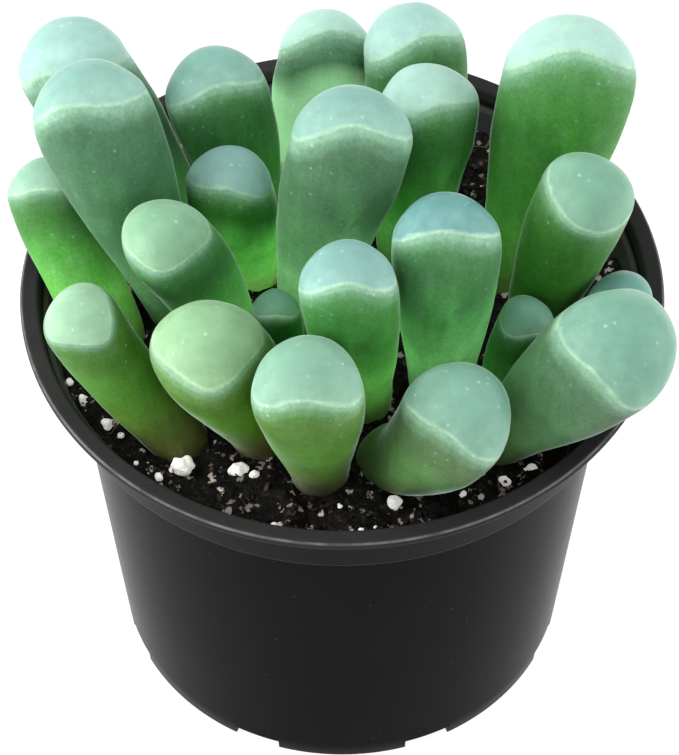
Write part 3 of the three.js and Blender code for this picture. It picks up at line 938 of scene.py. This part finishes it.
def threadMesh(shape):
    bm = bmesh.new()
    for _ in range(shape["threads"]):
        x, y = freePlace(0.3)
        thick = shape["threadThick"] * random.uniform(0.7, 1.5)
        way = random.uniform(0, 6.28)
        bend = random.uniform(-0.35, 0.35)
        stride = random.uniform(0.35, 0.7)
        middle = Vector((x, y, soilHeight(x, y) + 0.05)) * mm
        turn = Matrix.Rotation(way, 4, "Z") @ Matrix.Rotation(math.pi / 2, 4, "Y")
        made = bmesh.ops.create_circle(bm, cap_ends=True, segments=5, radius=thick * mm,
                                       matrix=Matrix.Translation(middle) @ turn)
        end = made["verts"][0].link_faces[0]
        for _ in range(shape["threadSteps"]):
            way += bend + random.uniform(-0.25, 0.25)
            step = Vector((math.cos(way), math.sin(way), 0)) * stride
            x, y = x + step.x, y + step.y
            if math.hypot(x, y) > shape["threadReach"]:
                break
            target = Vector((x, y, max(soilHeight(x, y), middle.z / mm - 0.25) + 0.1)) * mm
            grown = bmesh.ops.extrude_face_region(bm, geom=[end])["geom"]
            ring = [item for item in grown if isinstance(item, bmesh.types.BMVert)]
            end = [item for item in grown if isinstance(item, bmesh.types.BMFace)][0]
            bmesh.ops.translate(bm, verts=ring, vec=target - middle)
            turned = Matrix.Rotation(bend, 3, "Z")
            bmesh.ops.rotate(bm, verts=ring, cent=target, matrix=turned)
            middle = target
    return bm


# Bark and threads: dull browns, made the same way as the peat
barkFinish = {
    "dark": (0.010, 0.006, 0.004), "mid": (0.060, 0.036, 0.024), "light": (0.22, 0.145, 0.105),
    "glintsAndGrit": (0.36, 0.26, 0.21),
}
threadFinish = {
    "dark": (0.07, 0.045, 0.026), "mid": (0.22, 0.16, 0.10), "light": (0.42, 0.34, 0.24),
    "glintsAndGrit": (0.50, 0.42, 0.32),
}

bark = peatMaterial("bark", barkFinish)
rootThread = peatMaterial("rootThread", threadFinish)
peatCrumb = peatMaterial("peatCrumb", peatFinish, crumbLift)
addPiece(crumbMesh(looseShape), "soil_crumbs", peatCrumb)
addPiece(chipMesh(looseShape), "soil_bark", bark, sharpAngle=40)
addPiece(threadMesh(looseShape), "soil_threads", rootThread)
print("scene: loose peat made")


# Perlite: puffed white grains with pits, the large ones in place of the frame's own

perliteShape = {
    "smoothLevels": 2,
    "swell": 1.12,
    "lumpSize": 0.7,
    "lumpDepth": 0.3,
    "pitSize": 0.34,
    "pitReach": 0.45,
    "pitDepth": 0.24,
    "dust": 46,
    "dustSizes": (0.25, 0.75),
    "strays": [
        (-6.8, -27.1, 0.7), (-29.0, -7.9, 0.6), (-27.7, -9.5, 0.8), (-22.3, -15.8, 0.7),
        (-20.6, -20.1, 0.6), (-18.3, -21.8, 0.9), (16.3, -24.2, 0.6), (12.0, -23.9, 0.8),
    ],
}


def perliteMesh(nodeName, shape, number):
    bm = mergedCopy(nodeName)
    centre = sum((vert.co for vert in bm.verts), Vector()) / len(bm.verts)
    bmesh.ops.scale(bm, verts=bm.verts, vec=(shape["swell"],) * 3, space=Matrix.Translation(-centre))
    fine = smoothed(bm, shape["smoothLevels"])
    roughen(fine, shape["lumpSize"], shape["lumpDepth"], number * 2.3)
    fine.normal_update()
    for vert in fine.verts:
        near = noise.voronoi(vert.co / (shape["pitSize"] * mm))[0][0]
        vert.co -= vert.normal * max(0, shape["pitReach"] - near) * shape["pitDepth"] * mm
    return fine


def perliteDust(shape):
    bm = bmesh.new()
    low, high = shape["dustSizes"]
    spots = list(shape["strays"])
    for _ in range(shape["dust"]):
        size = low + (high - low) * random.random() ** 3
        spots.append((*freePlace(size * 0.5), size))
    for x, y, size in spots:
        squash = Matrix.Diagonal((random.uniform(0.8, 1.2), random.uniform(0.75, 1.1), 0.8, 1))
        spot = Matrix.Translation((x * mm, y * mm, (soilHeight(x, y) + size * 0.25) * mm))
        made = bmesh.ops.create_icosphere(bm, subdivisions=2, radius=size / 2 * mm,
                                          matrix=spot @ anyTurn() @ squash)
        jitter(made["verts"], size * 0.06)
    return bm


perliteFinish = {
    "body": (0.93, 0.92, 0.89),
    "shade": (0.80, 0.76, 0.68),
    "pitShade": (0.02, 0.017, 0.014),
    "poresPerMm": 3.4,
    "cloudPerMm": 1.4,
    "holesPerMm": 1.0,
    "holeSize": (0.24, 0.17),
    "roughness": (0.7, 0.9),
    "poreBump": (0.12, 0.8),
    "cloudBump": (0.2, 0.5),
    "paintedGlow": 0.3,
    "foamWeight": 0.2,
    "foamRadius": (1, 0.95, 0.9),
    "foamScale": 0.3,
}


def perliteMaterial(finish):
    material, tree, shader, place = newMaterial("perliteFoam")
    # painted shade: the middles of the pores are painted darker
    pores = cellsAt(tree, place, finish["poresPerMm"])
    pits = fitRange(tree, pores["Distance"], 0.1, 0.42)
    cloud = noiseAt(tree, place, finish["cloudPerMm"], 4, 0.6)
    colour = blendColour(tree, "MIX", fitNoise(tree, cloud, 0.0, 0.5), finish["body"], finish["shade"])
    colour = blendColour(tree, "MIX", fitRange(tree, pits, 0.0, 0.5, 0.3, 0.0), colour, finish["pitShade"])
    # a few deeper holes, painted dark as painted shade, with uneven edges
    holes = cellsAt(tree, place, finish["holesPerMm"])
    edge = maths(tree, "ADD", holes["Distance"], fitNoise(tree, cloud, -0.08, 0.08))
    colour = blendColour(tree, "MIX", fitRange(tree, edge, *finish["holeSize"]), colour, finish["pitShade"])
    normal = bumped(tree, pits, finish["poreBump"])
    feed(tree, shader, {
        "Base Color": colour,
        "Roughness": fitNoise(tree, cloud, *finish["roughness"]),
        "Normal": bumped(tree, cloud, finish["cloudBump"], normal),
        # painted glow: the foam gives off a little light of its own colour
        "Emission Color": colour,
        "Emission Strength": finish["paintedGlow"],
        "Subsurface Weight": finish["foamWeight"],
        "Subsurface Radius": finish["foamRadius"],
        "Subsurface Scale": finish["foamScale"] * mm,
    })
    material.cycles.emission_sampling = "NONE"
    return material


perliteFoam = perliteMaterial(perliteFinish)
grainNames = sorted(name for name in nodes if name.startswith("perlite_"))
for number, nodeName in enumerate(grainNames, start=1):
    grain = perliteMesh(nodeName, perliteShape, number)
    addPiece(grain, "foam_" + nodeName, perliteFoam, [nodeName])
addPiece(perliteDust(perliteShape), "perlite_dust", perliteFoam)
print("scene: perlite made")


# Floor and light: a bright white floor, even light all round, soft boxes above, at the front left and
# at each side

stageSet = {
    "floorSize": 4,
    "floorColour": (0.18, 0.18, 0.18),
    "floorShade": (0.17, 0.17, 0.17),
    "floorGlow": 0.92,
    "floorGloss": 0.1,
    "aim": (0, 0, 0.04),
    "worldStrength": 0.75,
    "top": {"place": (-0.10, 0.05, 0.75), "size": 0.6, "power": 2.2},
    "key": {"place": (-0.55, -0.12, 0.50), "size": 0.5, "power": 3.0},
    "left": {"place": (-0.62, -0.05, 0.16), "size": 0.42, "power": 3.0},
    "right": {"place": (0.62, -0.05, 0.16), "size": 0.42, "power": 2.4},
}

floorMesh = bmesh.new()
bmesh.ops.create_grid(floorMesh, x_segments=1, y_segments=1, size=stageSet["floorSize"])
floorData = bpy.data.meshes.new("floor")
floorMesh.to_mesh(floorData)
floorMesh.free()
floorMaterial, floorTree, floorShader, floorPlace = newMaterial("floorPaper")
feed(floorTree, floorShader, {
    "Base Color": blendColour(floorTree, "MIX", noiseAt(floorTree, floorPlace, 0.02, 3),
                              stageSet["floorColour"], stageSet["floorShade"]),
    "Roughness": 0.9,
    "Specular IOR Level": stageSet["floorGloss"],
    "Emission Color": (1, 1, 1, 1),
    "Emission Strength": stageSet["floorGlow"],
})
floorData.materials.append(floorMaterial)
floor = bpy.data.objects.new("floor", floorData)
bpy.context.scene.collection.objects.link(floor)

world = bpy.data.worlds.new("studio")
bpy.context.scene.world = world
world.use_nodes = True
background = world.node_tree.nodes["Background"]
background.inputs["Color"].default_value = (1, 1, 1, 1)
background.inputs["Strength"].default_value = stageSet["worldStrength"]

for name in ("top", "key", "left", "right"):
    lightSet = stageSet[name]
    lightData = bpy.data.lights.new(name, "AREA")
    lightData.shape = "SQUARE"
    lightData.size = lightSet["size"]
    lightData.energy = lightSet["power"]
    light = bpy.data.objects.new(name, lightData)
    light.location = lightSet["place"]
    aim = Vector(stageSet["aim"]) - light.location
    light.rotation_euler = aim.to_track_quat("-Z", "Y").to_euler()
    bpy.context.scene.collection.objects.link(light)
print("scene: stage and lights set")
